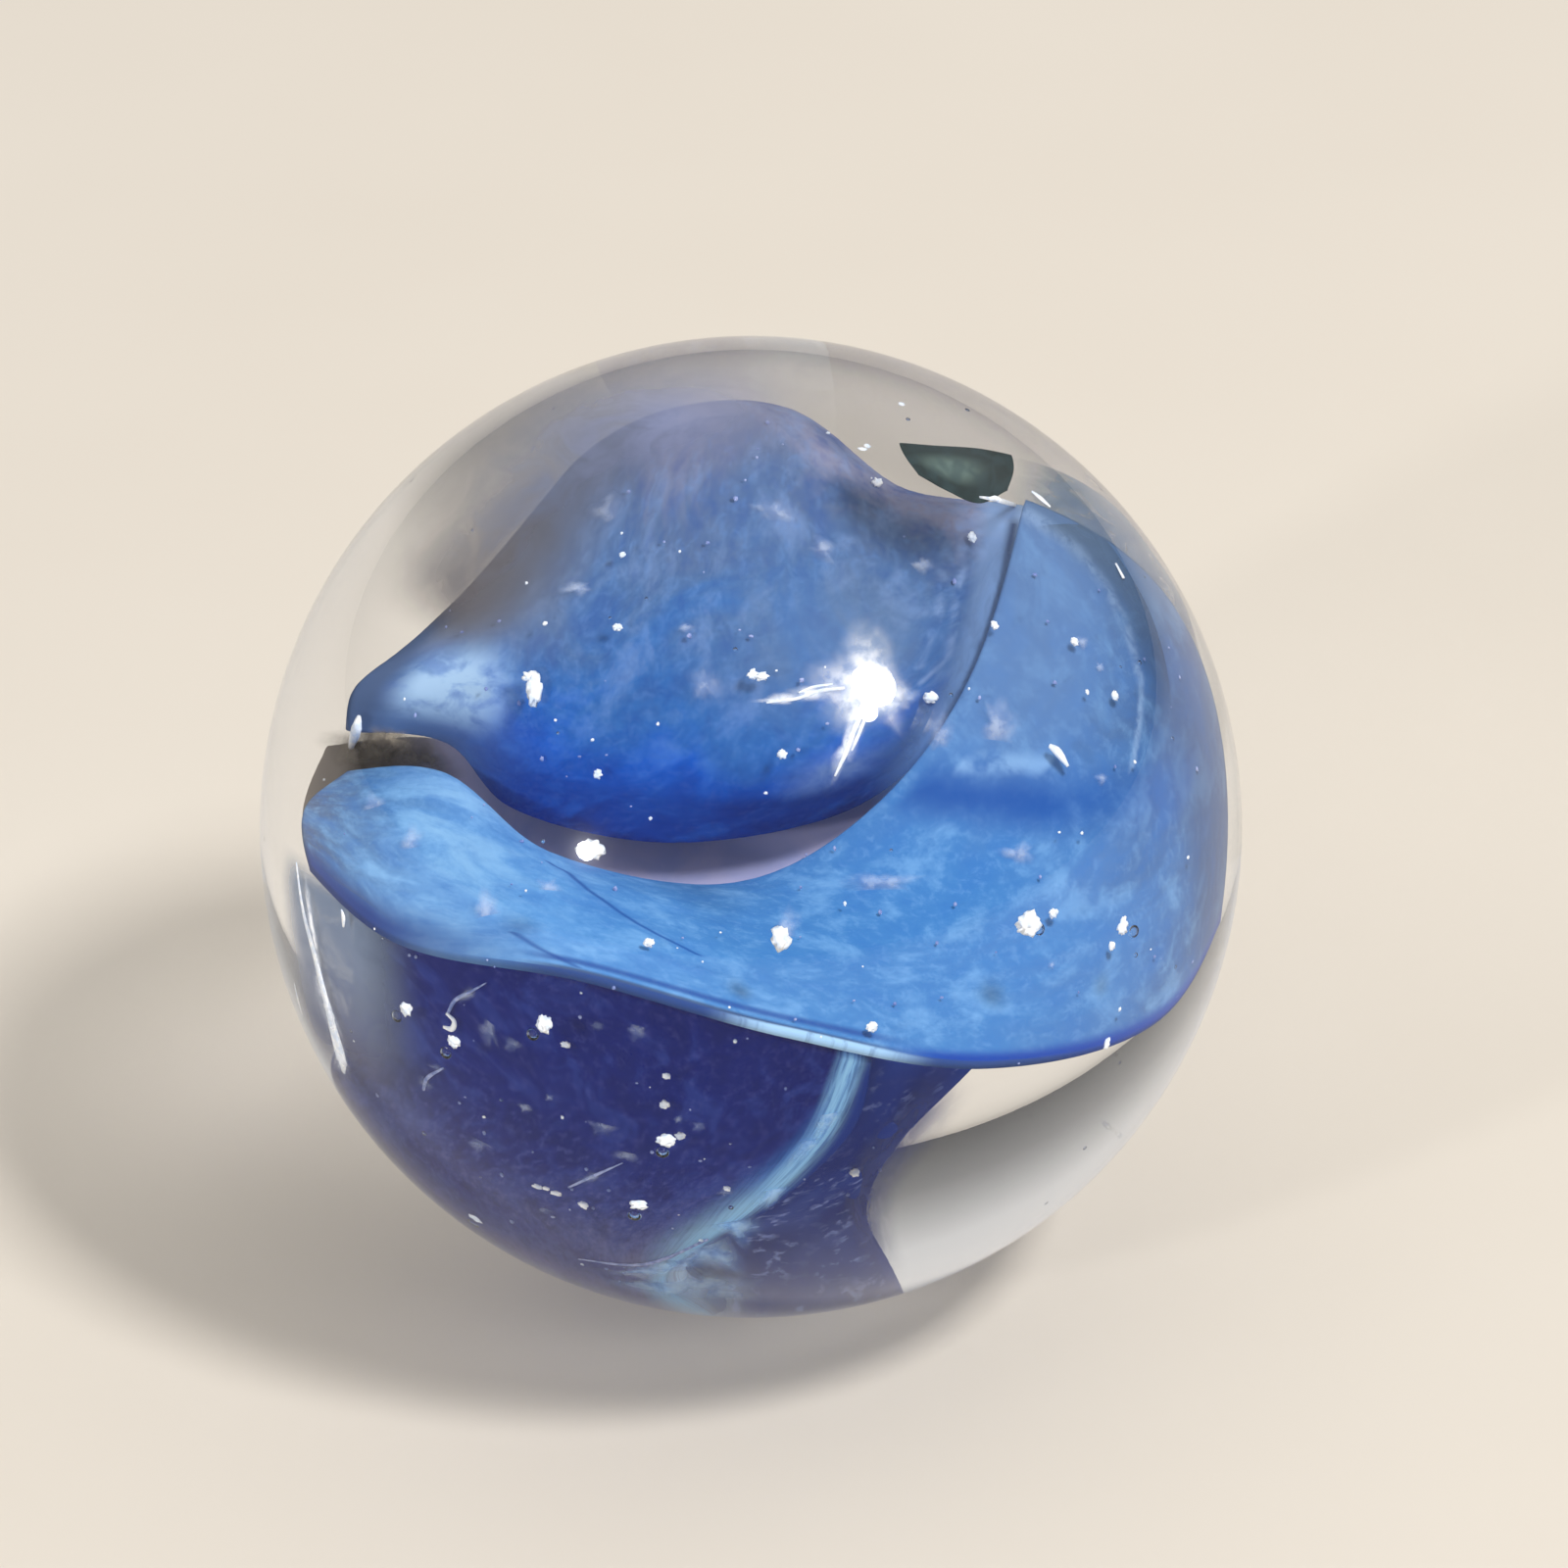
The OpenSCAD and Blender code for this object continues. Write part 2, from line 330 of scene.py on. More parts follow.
def curve_weights(steps, count):
    """Shares of count control points, at each of the steps, on a smooth curve through them."""
    first = np.clip(np.floor(steps).astype(int), 0, count - 2)
    f = steps - first
    weights = np.zeros((len(steps), count + 2))
    row = np.arange(len(steps))
    weights[row, first] = (-f + 2 * f**2 - f**3) / 2
    weights[row, first + 1] = 1 - 2.5 * f**2 + 1.5 * f**3
    weights[row, first + 2] = (f + 4 * f**2 - 3 * f**3) / 2
    weights[row, first + 3] = (f**3 - f**2) / 2
    # The curve runs straight on past its two ends
    weights[:, 1] += 2 * weights[:, 0]
    weights[:, 2] -= weights[:, 0]
    weights[:, -2] += 2 * weights[:, -1]
    weights[:, -3] -= weights[:, -1]
    return weights[:, 1:-1]


def on_sheet(rows, u, v):
    """Points of the sheet through rows of control points, u steps along and v across."""
    along = curve_weights(u, rows.shape[0])
    across = curve_weights(v, rows.shape[1])
    return np.einsum("nr,nc,rcd->nd", along, across, rows)


def sheet_normal(rows, u, v):
    """The sheet's normals, from two short chords across each point."""
    e = 0.01
    along = on_sheet(rows, u + e, v) - on_sheet(rows, u - e, v)
    across = on_sheet(rows, u, v + e) - on_sheet(rows, u, v - e)
    normal = np.cross(along, across)
    return normal / np.linalg.norm(normal, axis=1, keepdims=True)


def sheet_thickness(a, b, middle=VANE_T, edge=EDGE_T):
    """The thickness at a and b, which run from -1 to 1 across the sheet."""
    return edge + (middle - edge) * (1 - a**4) * (1 - b**4)


def in_reach(rows):
    return np.array(rows, float) * REACH / 100


def below_front(places, inset):
    """Points just clear of the front leaf's underside, this far in from its front edge."""
    v = np.array(places, float)
    start = on_sheet(FRONT, 0 * v, v)
    second = on_sheet(FRONT, 0 * v + 1, v)
    u = inset / np.linalg.norm(second - start, axis=1)
    a = 2 * u / (FRONT.shape[0] - 1) - 1
    b = 2 * v / (FRONT.shape[1] - 1) - 1
    drop = sheet_thickness(a, b) / 2 + EDGE_T / 2 + HANG_GAP
    return on_sheet(FRONT, u, v) + drop[:, None] * sheet_normal(FRONT, u, v)


def hung(places, inset, rows):
    return np.concatenate([below_front(places, inset)[None], in_reach(rows)])


def flow_ripple(u, v, seed):
    """Low ridges that run the long way of a leaf, as drawn glass has."""
    across, along = 3.1, 17
    places = [Vector((across * x, along * y, seed)) for x, y in zip(v, u)]
    wide = np.array([field.noise(p) for p in places])
    fine = np.array([field.noise(Vector((2 * p.x, 3 * p.y, p.z))) for p in places])
    return RIPPLE * (wide + 0.4 * fine)


def grid_steps(cells_u, cells_v):
    """The two counts of each vertex of a grid, row by row."""
    i, j = np.meshgrid(np.arange(cells_u + 1), np.arange(cells_v + 1), indexing="ij")
    return i.ravel(), j.ravel()


def grid_cells(cells_u, cells_v):
    """The first vertex of each cell of a grid."""
    return [p * (cells_v + 1) + q for p in range(cells_u) for q in range(cells_v)]


def sheet_mesh(name, points, faces, shares):
    """A mesh that holds each vertex's two shares as the UVs that the materials read."""
    mesh = bpy.data.meshes.new(name)
    mesh.from_pydata(points.tolist(), [], faces)
    layer = mesh.uv_layers.new(name=SHARES)
    corners = np.zeros(len(mesh.loops), int)
    mesh.loops.foreach_get("vertex_index", corners)
    layer.uv.foreach_set("vector", shares[corners].ravel())
    mesh.shade_smooth()
    return mesh


def built_mesh(name, bm):
    """A smooth mesh of what was built, which is let go."""
    mesh = bpy.data.meshes.new(name)
    bm.to_mesh(mesh)
    bm.free()
    mesh.shade_smooth()
    return mesh


def turn_outwards(mesh):
    bm = bmesh.new()
    bm.from_mesh(mesh)
    bmesh.ops.recalc_face_normals(bm, faces=bm.faces)
    bm.to_mesh(mesh)
    bm.free()
    return mesh


def leaf_mesh(name, rows, cells_u, cells_v, seed, middle_t=VANE_T, edge_t=EDGE_T):
    """A closed leaf: two faces, a rounded rim, and its two shares along and across as UVs."""
    i, j = grid_steps(cells_u, cells_v)
    a = 2 * i / cells_u - 1
    b = 2 * j / cells_v - 1
    share_u = (1 + a * (1 - CORNER_SHARE * b**2)) / 2
    share_v = (1 + b * (1 - CORNER_SHARE * a**2)) / 2
    u = share_u * (rows.shape[0] - 1)
    v = share_v * (rows.shape[1] - 1)
    middle = on_sheet(rows, u, v)
    normal = sheet_normal(rows, u, v)
    half = (sheet_thickness(a, b, middle_t, edge_t) / 2)[:, None]
    shift = (flow_ripple(share_u, share_v, seed) * (1 - a**8) * (1 - b**8))[:, None]
    top = middle + (shift - half) * normal
    bottom = middle + (shift + half) * normal

    width = cells_v + 1
    rim = list(range(cells_v))
    rim += [k * width + cells_v for k in range(cells_u)]
    rim += [cells_u * width + k for k in range(cells_v, 0, -1)]
    rim += [k * width for k in range(cells_u, 0, -1)]
    rim = np.array(rim)
    inner_i = np.clip(rim // width, 1, cells_u - 1)
    inner_j = np.clip(rim % width, 1, cells_v - 1)
    outward = middle[rim] - middle[inner_i * width + inner_j]
    outward -= np.sum(outward * normal[rim], axis=1, keepdims=True) * normal[rim]
    outward /= np.linalg.norm(outward, axis=1, keepdims=True)
    loops = []
    for turn in (0.75, 0.5, 0.25):
        angle = math.pi * (turn - 0.5)
        swell = RIM_SWELL * math.cos(angle) * outward - math.sin(angle) * normal[rim]
        loops.append(middle[rim] + half[rim] * swell)

    points = np.concatenate([top, bottom] + loops)
    shares = np.stack([share_u, share_v], axis=1)
    shares = np.concatenate([shares, shares] + [shares[rim]] * len(loops))
    back = len(top)
    faces = []
    for c in grid_cells(cells_u, cells_v):
        faces.append((c, c + 1, c + width + 1, c + width))
        faces.append((back + c, back + c + width, back + c + width + 1, back + c + 1))
    count = len(rim)
    strips = [rim] + [2 * back + k * count + np.arange(count) for k in range(len(loops))]
    strips.append(back + rim)
    for upper, lower in zip(strips[:-1], strips[1:]):
        for k in range(count):
            m = (k + 1) % count
            faces.append((int(upper[k]), int(lower[k]), int(lower[m]), int(upper[m])))
    return turn_outwards(sheet_mesh(name, points, faces, shares))


def add_piece(name, mesh, material, slot, node=None):
    """Puts a mesh in the scene as a piece of the marble, in place of a CAD node if it has one."""
    piece = bpy.data.objects.new(name, mesh)
    bpy.context.scene.collection.objects.link(piece)
    mesh.materials.append(material)
    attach(piece, "root")
    if node:
        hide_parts(node)


def from_centre(azimuth, elevation, radius):
    turn = math.radians(azimuth)
    rise = math.radians(elevation)
    flat = math.cos(rise)
    return radius * Vector((flat * math.cos(turn), flat * math.sin(turn), math.sin(rise)))


def add_hollow(bm, centre, radius, level):
    """Adds a small ball, inside out, which is a bubble in the glass round it."""
    made = bmesh.ops.create_icosphere(bm, subdivisions=level, radius=radius)
    bmesh.ops.translate(bm, verts=made["verts"], vec=centre)
    faces = {f for vert in made["verts"] for f in vert.link_faces}
    bmesh.ops.reverse_faces(bm, faces=list(faces))


def ball_mesh():
    """The clear ball with its slight waver, and the bubbles left in it as hollows."""
    bm = bmesh.new()
    bmesh.ops.create_icosphere(bm, subdivisions=7, radius=1)
    for vert in bm.verts:
        way = vert.co.normalized()
        vert.co = way * (BALL_R - WAVER * (1 + field.noise(way * WAVES)))
    for azimuth, elevation, depth in SEEDS:
        add_hollow(bm, from_centre(azimuth, elevation, REACH * depth / 100), SEED_D / 2, 3)
    chance = random.Random(16)
    top = 0.95
    for _ in range(FINE_SEED_COUNT):
        turn = chance.uniform(0, 360)
        rise = math.degrees(math.asin(chance.uniform(-top, top)))
        centre = from_centre(turn, rise, REACH * chance.uniform(*FINE_SEED_DEPTH))
        add_hollow(bm, centre, chance.uniform(*FINE_SEED_R) * MM, 2)
    return built_mesh("clear_ball", bm)


def sight(x, y):
    """Where the camera's ray through a pixel enters the ball, and its way on in the glass."""
    spread = math.tan(CAMERA_ANGLE / 2) * 2 / PHOTO
    way = (spread * (x - PHOTO / 2) * RIGHT + spread * (PHOTO / 2 - y) * UP - AWAY).normalized()
    near = CAMERA.dot(way)
    reached = max(0, near * near - CAMERA.length_squared + BALL_R * BALL_R)
    entry = CAMERA - (near + math.sqrt(reached)) * way
    normal = entry.normalized()
    facing = -normal.dot(way)
    slower = 1 / GLASS_IOR
    bend = slower * facing - math.sqrt(1 - slower**2 * (1 - facing**2))
    return entry, (slower * way + bend * normal).normalized()


def leaf_tree(mesh):
    return BVHTree.FromPolygons([v.co for v in mesh.vertices],
                                [tuple(p.vertices) for p in mesh.polygons])


def leaf_distance(x, y):
    """How far in the glass the first leaf lies at a pixel, or None."""
    entry, way = sight(x, y)
    found = [tree.ray_cast(entry, way)[3] for tree in TREES]
    found = [distance for distance in found if distance is not None]
    return min(found) if found else None


def in_glass(x, y, depth):
    """The point that a pixel shows at this depth in the glass."""
    entry, way = sight(x, y)
    return entry + depth * way


def under_surface(depth):
    """Finds the points that pixels show at a depth in the glass."""
    return lambda x, y: in_glass(x, y, depth)


def before_leaf(lift):
    """Finds the points that pixels show just in front of the first leaf there."""
    return lambda x, y: in_glass(x, y, max(SKIN, (leaf_distance(x, y) or 0) - lift))


def add_speck(bm, centre, width, height, seed):
    """A small uneven lump that faces the camera with about this width and height."""
    uneven = 0.7
    depth = 0.35 * min(width, height)
    made = bmesh.ops.create_icosphere(bm, subdivisions=3, radius=0.5)
    for vert in made["verts"]:
        way = vert.co.normalized()
        lump = 1 + uneven * field.noise(2.2 * way + Vector((0, 0, 7.3 * seed + 0.4)))
        local = vert.co * lump
        vert.co = (centre + width * local.x * RIGHT + height * local.y * UP
                   + depth * local.z * AWAY)


def specks_mesh(name, specks, place):
    """Specks at photo places, which place(x, y) turns into points in the ball."""
    bm = bmesh.new()
    for index, (x, y, width, height) in enumerate(specks):
        add_speck(bm, place(x, y), width * PIXEL, height * PIXEL, index)
    return built_mesh(name, bm)


def dust_places(count, seed):
    """Tiny specks scattered over the part of the picture where the leaves are."""
    chance = random.Random(seed)
    places = []
    while len(places) < count:
        x = chance.uniform(*DUST_X)
        y = chance.uniform(*DUST_Y)
        size = chance.uniform(*DUST_SIZE)
        if leaf_distance(x, y) is not None:
            places.append((x, y, size, size * chance.uniform(0.6, 1.4)))
    return places


def flecks_mesh(name, flecks, place):
    """Thin uneven discs that face the camera. Their UVs hold the share of the radius."""
    sides = 18
    rings = (0.0, 0.35, 0.7, 1.0)
    uneven = 0.8
    bm = bmesh.new()
    layer = bm.loops.layers.uv.new(SHARES)
    for index, (x, y, width, height, *slant) in enumerate(flecks):
        centre = place(x, y)
        slant = math.radians(slant[0]) if slant else 0.0
        across = math.cos(slant) * RIGHT + math.sin(slant) * UP
        upwards = math.cos(slant) * UP - math.sin(slant) * RIGHT
        loops = []
        for ring in rings:
            loop = []
            for k in range(sides):
                turn = 2 * math.pi * k / sides
                way = Vector((math.cos(turn), math.sin(turn), 0))
                lump = uneven * field.noise(1.6 * way + Vector((0, 0, 5.1 * index)))
                swell = ring * (1 + lump)
                spot = (width * way.x * across + height * way.y * upwards) * PIXEL / 2
                loop.append(bm.verts.new(centre + swell * spot))
            loops.append(loop)
        for level, (inner, outer) in enumerate(zip(loops[:-1], loops[1:])):
            for k in range(sides):
                m = (k + 1) % sides
                face = bm.faces.new((inner[k], outer[k], outer[m], inner[m]))
                shares = (rings[level], rings[level + 1], rings[level + 1], rings[level])
                for corner, share in zip(face.loops, shares):
                    corner[layer].uv = (share, (k + 0.5) / sides)
    bmesh.ops.remove_doubles(bm, verts=bm.verts, dist=SAME_PLACE)
    return built_mesh(name, bm)


def add_thread(bm, points, widths, sides=8, rings=5):
    """A tube along points, that swells and thins with the widths and is closed at its ends."""
    rows = np.array([[*point, width] for point, width in zip(points, widths)])
    steps = np.linspace(0, len(points) - 1, (len(points) - 1) * rings + 1)
    run = np.einsum("nr,rd->nd", curve_weights(steps, len(points)), rows)
    along = np.gradient(run[:, :3], axis=0)
    loops = []
    for place, way, width in zip(run[:, :3], along, run[:, 3]):
        way = Vector(way).normalized()
        side = way.cross(AWAY).normalized()
        over = side.cross(way)
        loop = []
        for k in range(sides):
            turn = 2 * math.pi * k / sides
            spot = float(width) / 2 * (math.cos(turn) * side + math.sin(turn) * over)
            loop.append(bm.verts.new(Vector(place) + spot))
        loops.append(loop)
    for lower, upper in zip(loops[:-1], loops[1:]):
        for k in range(sides):
            m = (k + 1) % sides
            bm.faces.new((lower[k], lower[m], upper[m], upper[k]))
    bm.faces.new(reversed(loops[0]))
    bm.faces.new(loops[-1])


def threads_mesh(name, threads, place):
    """Threads through photo places, which place(x, y) turns into points in the ball."""
    bm = bmesh.new()
    for thread in threads:
        points = [place(x, y) for x, y, _ in thread]
        add_thread(bm, points, [width * PIXEL for _, _, width in thread])
    return turn_outwards(built_mesh(name, bm))


def veil_mesh(name, columns, lift):
    """A thin sheet in front of a leaf, through columns of photo places.

    The first two places of a column lie over the leaf, and the rest follow at their depth,
    but no further than two fifths of the way through the ball.
    """
    grid = []
    for column in columns:
        row = []
        depth = SKIN
        for index, (x, y) in enumerate(column):
            entry, way = sight(x, y)
            if index < 2:
                depth = max(SKIN, (leaf_distance(x, y) or depth + lift) - lift)
            deepest = -0.8 * entry.dot(way)
            row.append(tuple(entry + min(depth, deepest) * way))
        grid.append(row)
    rows = np.array(grid)
    cells_u = VEIL_CELLS * (rows.shape[0] - 1)
    cells_v = VEIL_CELLS * (rows.shape[1] - 1)
    i, j = grid_steps(cells_u, cells_v)
    points = on_sheet(rows, i / VEIL_CELLS, j / VEIL_CELLS)
    width = cells_v + 1
    faces = [(c, c + 1, c + width + 1, c + width) for c in grid_cells(cells_u, cells_v)]
    return sheet_mesh(name, points, faces, np.stack([i / cells_u, j / cells_v], axis=1))


# ---- Materials. Painted colours are given as 0 to 255 per channel. ----


def srgb(red, green, blue):
    """A colour as the linear colour that Blender's nodes use."""
    shares = [channel / 255 for channel in (red, green, blue)]
    linear = [x / 12.92 if x <= 0.04045 else ((x + 0.055) / 1.055) ** 2.4 for x in shares]
    return (*linear, 1)


def set_stops(node, stops):
    """Gives a colour ramp its stops, each a place from 0 to 1 and a linear colour."""
    marks = node.color_ramp.elements
    while len(marks) < len(stops):
        marks.new(0.5)
    for mark, (place, colour) in zip(marks, stops):
        mark.position = place
        mark.color = colour


class Shader:
    """One material's node tree, with short calls that add nodes to it and paint its colour."""

    def __init__(self, name):
        self.material = bpy.data.materials.new(name)
        self.material.use_nodes = True
        self.tree = self.material.node_tree
        self.tree.nodes.clear()
        self.colour = None
        self.uv = None

    def add(self, kind, inputs=(), **settings):
        node = self.tree.nodes.new("ShaderNode" + kind)
        for setting, value in settings.items():
            setattr(node, setting, value)
        for socket, value in dict(inputs).items():
            self.feed(node.inputs[socket], value)
        return node

    def feed(self, socket, value):
        if isinstance(value, bpy.types.NodeSocket):
            self.tree.links.new(value, socket)
        else:
            socket.default_value = value

    def maths(self, operation, first, second=0.0):
        node = self.add("Math", {0: first, 1: second}, operation=operation)
        return node.outputs[0]

    def times(self, first, *others):
        """The product of all the values."""
        for other in others:
            first = self.maths("MULTIPLY", first, other)
        return first

    def vector_maths(self, operation, *vectors):
        node = self.add("VectorMath", enumerate(vectors), operation=operation)
        return node.outputs

    def mix(self, share, first, second):
        """Goes from one colour to another. Either may come from a node."""
        first, second = [colour if isinstance(colour, bpy.types.NodeSocket) else srgb(*colour)
                         for colour in (first, second)]
        node = self.add("Mix", {0: share, 6: first, 7: second}, data_type="RGBA")
        return node.outputs[2]

    def paint(self, share, colour, most=1.0):
        """Lays a colour over what is painted so far, as far as its share goes."""
        if most < 1.0:
            share = self.times(share, most)
        self.colour = self.mix(share, self.colour, colour)

    def clouded(self, noise, dark, light, most):
        """Drifts towards dark where a noise is low and towards light where it is high."""
        self.paint(self.fade(noise, 0.52, 0.32, 0.0, most), dark)
        self.paint(self.fade(noise, 0.48, 0.68, 0.0, most), light)

    def ramp(self, share, stops):
        """Paints a colour by a share from 0 to 1, through (place, colour) stops."""
        node = self.add("ValToRGB", {0: share})
        set_stops(node, [(place, srgb(*colour)) for place, colour in stops])
        self.colour = node.outputs[0]

    def fade(self, value, start, end, low=0.0, high=1.0):
        """Runs smoothly from low to high as value goes from start to end."""
        node = self.add("MapRange", {0: value, 1: start, 2: end, 3: low, 4: high},
                        interpolation_type="SMOOTHSTEP")
        return node.outputs[0]

    def drift(self, value, noise, low, high, shift):
        """A value that a noise shifts up or down, by no more than this."""
        return self.maths("ADD", value, self.fade(noise, low, high, -shift, shift))

    def stretched(self, vector, scale, move=(0, 0, 0), turn=0.0):
        node = self.add("Mapping",
                        {0: vector, 1: move, 2: (0, 0, math.radians(turn)), 3: scale})
        return node.outputs[0]

    def noise(self, vector, scale, detail=3.0, rough=0.5, warp=0.0):
        node = self.add("TexNoise",
                        {0: vector, 2: scale, 3: detail, 4: rough, 8: warp})
        return node.outputs[0]

    def swirl(self, along, across, detail, rough=0.5, warp=0.0, turn=0.0):
        """Noise with about so many swells along and across the leaf."""
        vector = self.stretched(self.uv, (along, across, 1), turn=turn)
        return self.noise(vector, 1.0, detail, rough, warp)

    def spot(self, centre, radii, soft=1.0):
        """1 at a centre in the leaf's shares, falling smoothly to 0 at the radii."""
        scale = (1 / radii[0], 1 / radii[1], 0)
        move = (-centre[0] / radii[0], -centre[1] / radii[1], 0)
        near = self.stretched(self.uv, scale, move)
        return self.fade(self.vector_maths("LENGTH", near)[1], 1.0, 1.0 - soft)

    def line(self, points, width, soft=0.0):
        """1 along a line through points in the leaf's shares, 0 past half the width."""
        nearest = None
        for start, end in zip(points[:-1], points[1:]):
            run = (end[0] - start[0], end[1] - start[1])
            square = run[0] ** 2 + run[1] ** 2
            offset = self.vector_maths("SUBTRACT", self.uv, (*start, 0))[0]
            share = (run[0] / square, run[1] / square, 0)
            dot = self.vector_maths("DOT_PRODUCT", offset, share)[1]
            place = self.add("Clamp", {0: dot}).outputs[0]
            back = self.add("VectorMath", {0: (*run, 0), 3: place},
                            operation="SCALE").outputs[0]
            away = self.vector_maths("DISTANCE", offset, back)[1]
            nearest = away if nearest is None else self.maths("MINIMUM", nearest, away)
        return self.fade(nearest, width / 2, soft)

    def place(self):
        """The place on the piece, in metres."""
        return self.add("TexCoord").outputs["Object"]

    def shares(self):
        """Reads a leaf's UVs. Gives its share along and its share across."""
        self.uv = self.add("UVMap", uv_map=SHARES).outputs[0]
        parts = self.add("SeparateXYZ", {0: self.uv})
        return parts.outputs[0], parts.outputs[1]

    def close(self, shader):
        self.add("OutputMaterial", {0: shader})
        return self.material

    def body(self, rough=0.6, shine=0.0, cover=1.0):
        """Closes the tree with the painted colour, dull where clear glass lies against it."""
        body = self.add("BsdfPrincipled", {
            "Base Color": self.colour, "Roughness": rough, "Specular IOR Level": shine,
            "Alpha": cover,
        })
        return self.close(body.outputs[0])


def clear_glass():
    """Clear glass, worn by fine scratches. Light reaches the leaves inside straight through it."""
    s = Shader("clear_glass")
    place = s.place()
    glass = s.add("BsdfPrincipled", {
        "Base Color": (0.985, 0.99, 1.0, 1), "Roughness": 0.0, "IOR": GLASS_IOR,
        "Transmission Weight": 1.0, "Specular Tint": (0.6, 0.6, 0.62, 1), "Coat Weight": 0.1,
        "Coat Roughness": 0.16,
    })
    wear = s.noise(place, 1400.0, detail=4.0)
    bump = s.add("Bump", {"Strength": 0.04, "Distance": 0.02 * MM, "Height": wear})
    s.feed(glass.inputs["Normal"], bump.outputs[0])
    kind = s.add("LightPath").outputs
    side = s.add("NewGeometry").outputs["Backfacing"]
    unseen = s.maths("MAXIMUM", kind["Is Shadow Ray"], kind["Is Diffuse Ray"])
    from_middle = s.vector_maths("LENGTH", place)[1]
    bubble = s.maths("LESS_THAN", from_middle, BALL_R - 0.1 * MM)
    leaving = s.times(unseen, s.maths("MAXIMUM", side, bubble))
    straight = s.add("BsdfTransparent")
    both = s.add("MixShader",
                 {0: leaving, 1: glass.outputs[0], 2: straight.outputs[0]})
    return s.close(both.outputs[0])


def deep_blue_glass():
    """The hood: deep blue at its lip; lavender at its top, a painted reflection of the bright
    surroundings; a painted sunlit patch on its left wing.
    """
    s = Shader("deep_blue_glass")
    u, v = s.shares()
    clouds = s.swirl(5, 5, 6.0, rough=0.6, warp=0.8)
    swirls = s.swirl(11, 15, 6.0, rough=0.6, warp=0.4, turn=30)
    mottle = s.swirl(44, 52, 4.0, rough=0.7, warp=0.4)
    # The lavender stop near the top is painted reflection of the bright surroundings.
    s.ramp(s.drift(u, clouds, 0.25, 0.75, 0.1), [
        (0.0, (2, 58, 150)), (0.06, (6, 78, 182)), (0.18, (12, 90, 194)),
        (0.34, (44, 102, 172)), (0.5, (68, 102, 150)), (0.64, (80, 102, 140)),
        (0.78, (132, 134, 160)), (0.9, (96, 112, 160)), (1.0, (44, 78, 158)),
    ])
    upper = s.fade(u, 0.12, 0.4)
    s.clouded(swirls, (34, 72, 142), (122, 150, 198), s.times(upper, 0.4))
    s.clouded(swirls, (0, 58, 158), (44, 124, 224), s.fade(upper, 0.0, 1.0, 0.4, 0.0))
    s.clouded(mottle, (24, 66, 142), (104, 146, 210), s.fade(upper, 0.0, 1.0, 0.12, 0.2))
    haze = s.times(s.spot((0.44, 0.74), (0.2, 0.2)), s.fade(clouds, 0.3, 0.6, 0.5, 0.9))
    s.paint(haze, (94, 116, 146))
    # Painted highlight: a pale glow low on the hood's right, near the lamp's highlight.
    highlight_glow = s.times(s.spot((0.185, 0.76), (0.09, 0.1)), s.fade(swirls, 0.35, 0.6, 0.3, 0.8))
    s.paint(highlight_glow, (132, 162, 208))
    left = s.fade(v, 0.42, 0.12)
    s.paint(s.times(left, s.fade(u, 0.3, 0.5)), (108, 118, 140))
    s.paint(s.times(left, s.fade(u, 0.3, 0.15)), (92, 122, 168))
    # Painted light: a pale sunlit patch on the left wing.
    wing = s.times(s.spot((0.26, 0.17), (0.19, 0.15), soft=0.7),
                   s.fade(swirls, 0.35, 0.55, 0.45, 1.0))
    s.paint(wing, (158, 188, 218))
    tip = s.fade(v, 0.12, 0.04)
    s.paint(tip, (70, 88, 122))
    # Painted light: lighter towards the right edge, against the shade the front leaf casts there.
    beyond = s.fade(v, 0.9, 0.935, 0.0, 0.7)
    s.paint(beyond, (134, 168, 214))
    far_edge = s.fade(v, 0.955, 0.975)
    s.paint(far_edge, (160, 190, 232))
    fold = s.line([(0.1, 0.954), (0.26, 0.955), (0.55, 0.953), (0.69, 0.96)], 0.013)
    s.paint(fold, (52, 80, 136), 0.7)
    for wisp in ([(0.67, 0.915), (0.55, 0.93), (0.42, 0.925)],
                 [(0.65, 0.892), (0.49, 0.89), (0.37, 0.9), (0.34, 0.86)],
                 [(0.6, 0.86), (0.48, 0.865), (0.38, 0.85)]):
        shine = s.times(s.line(wisp, 0.026), s.fade(swirls, 0.4, 0.6))
        s.paint(shine, (136, 162, 206), 0.5)
    return s.body()


